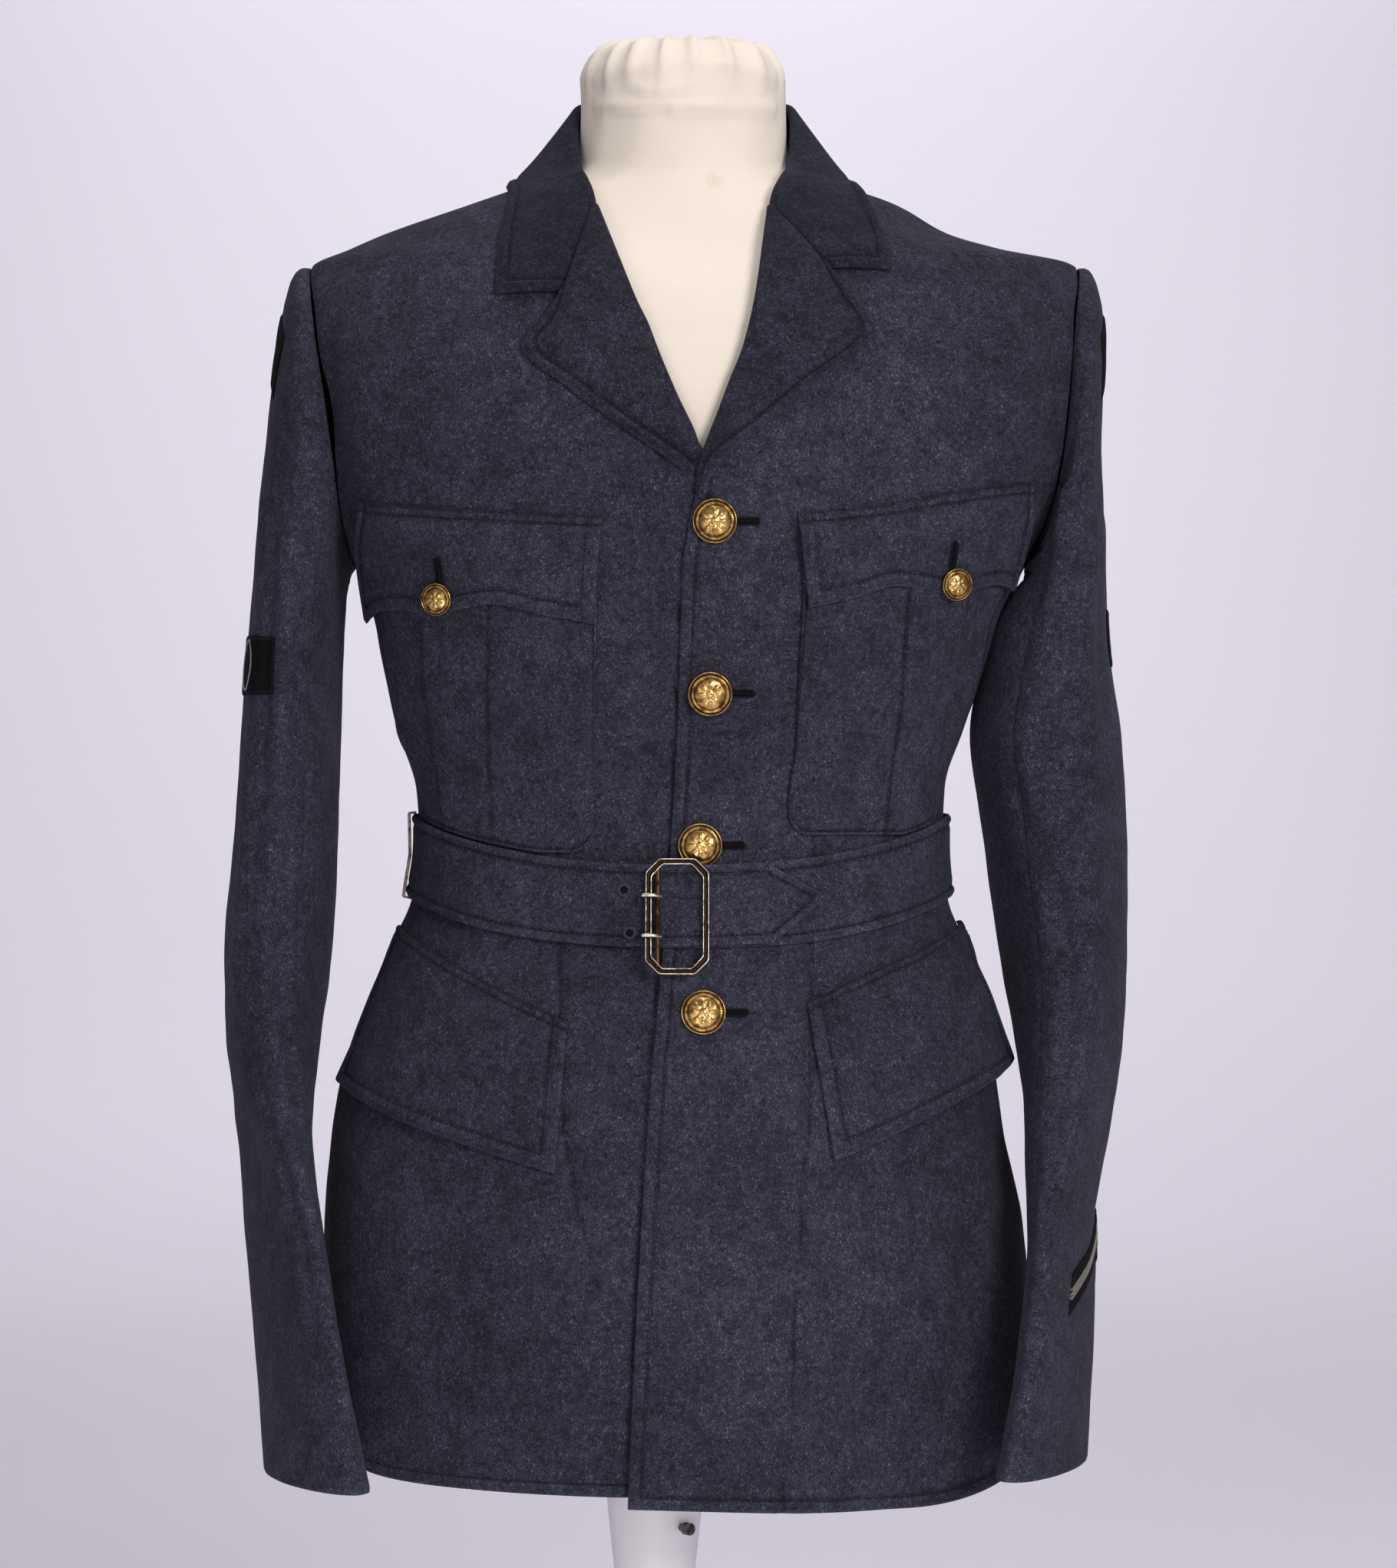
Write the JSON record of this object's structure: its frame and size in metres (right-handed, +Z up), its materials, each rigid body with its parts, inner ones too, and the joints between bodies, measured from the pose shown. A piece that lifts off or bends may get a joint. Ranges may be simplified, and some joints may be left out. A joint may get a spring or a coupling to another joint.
{
  "type": "military uniform jacket on a dress form",
  "caption": "Belted service-dress jacket of blue-grey wool, notched lapels, flap pockets, gilt buttons and a buckled cloth belt, on a limbless dress form with a post and a round base.",
  "frame": {"origin": "middle of the base's underside", "axes": "+X to the wearer's left (the viewer's right), +Y to the back, the jacket's front faces -Y, +Z up"},
  "size_m": [0.5048, 0.3215, 1.058],
  "materials": {
    "serge": "blue-grey wool serge with pale flecks, matt",
    "collar_serge": "the same serge, darker on the turned-back pieces",
    "belt_serge": "the same serge, pressed flat",
    "buckle_metal": "worn nickel over brass, polished",
    "button_brass": "gilt, polished on the high places",
    "badge_cloth": "black badge cloth",
    "stripe_cloth": "dark backing with pale herringbone braid",
    "form_cloth": "off-white cotton cover, slightly worn",
    "stand_paint": "white paint, satin",
    "screw_metal": "dark steel"
  },
  "bodies": {
    "root": {"right_front": "serge", "left_front": "serge", "back": "serge", "right_top_sleeve": "serge", "left_top_sleeve": "serge", "right_under_sleeve": "serge", "left_under_sleeve": "serge", "right_breast_pocket": "serge", "left_breast_pocket": "serge", "right_breast_flap": "serge", "left_breast_flap": "serge", "right_hip_flap": "serge", "left_hip_flap": "serge", "right_lapel": "collar_serge", "left_lapel": "collar_serge", "collar": "collar_serge", "collar_stand": "collar_serge", "belt": "belt_serge", "buckle": "buckle_metal", "prong_1": "buckle_metal", "prong_2": "buckle_metal", "belt_slide": "buckle_metal", "front_button_1": "button_brass", "front_button_2": "button_brass", "front_button_3": "button_brass", "front_button_4": "button_brass", "right_pocket_button": "button_brass", "left_pocket_button": "button_brass", "right_upper_patch": "badge_cloth", "right_lower_patch": "badge_cloth", "left_upper_patch": "badge_cloth", "left_lower_patch": "badge_cloth", "cuff_stripe": "stripe_cloth", "form": "form_cloth", "post": "stand_paint", "base": "stand_paint", "thumb_screw": "screw_metal"}
  },
  "joints": []
}
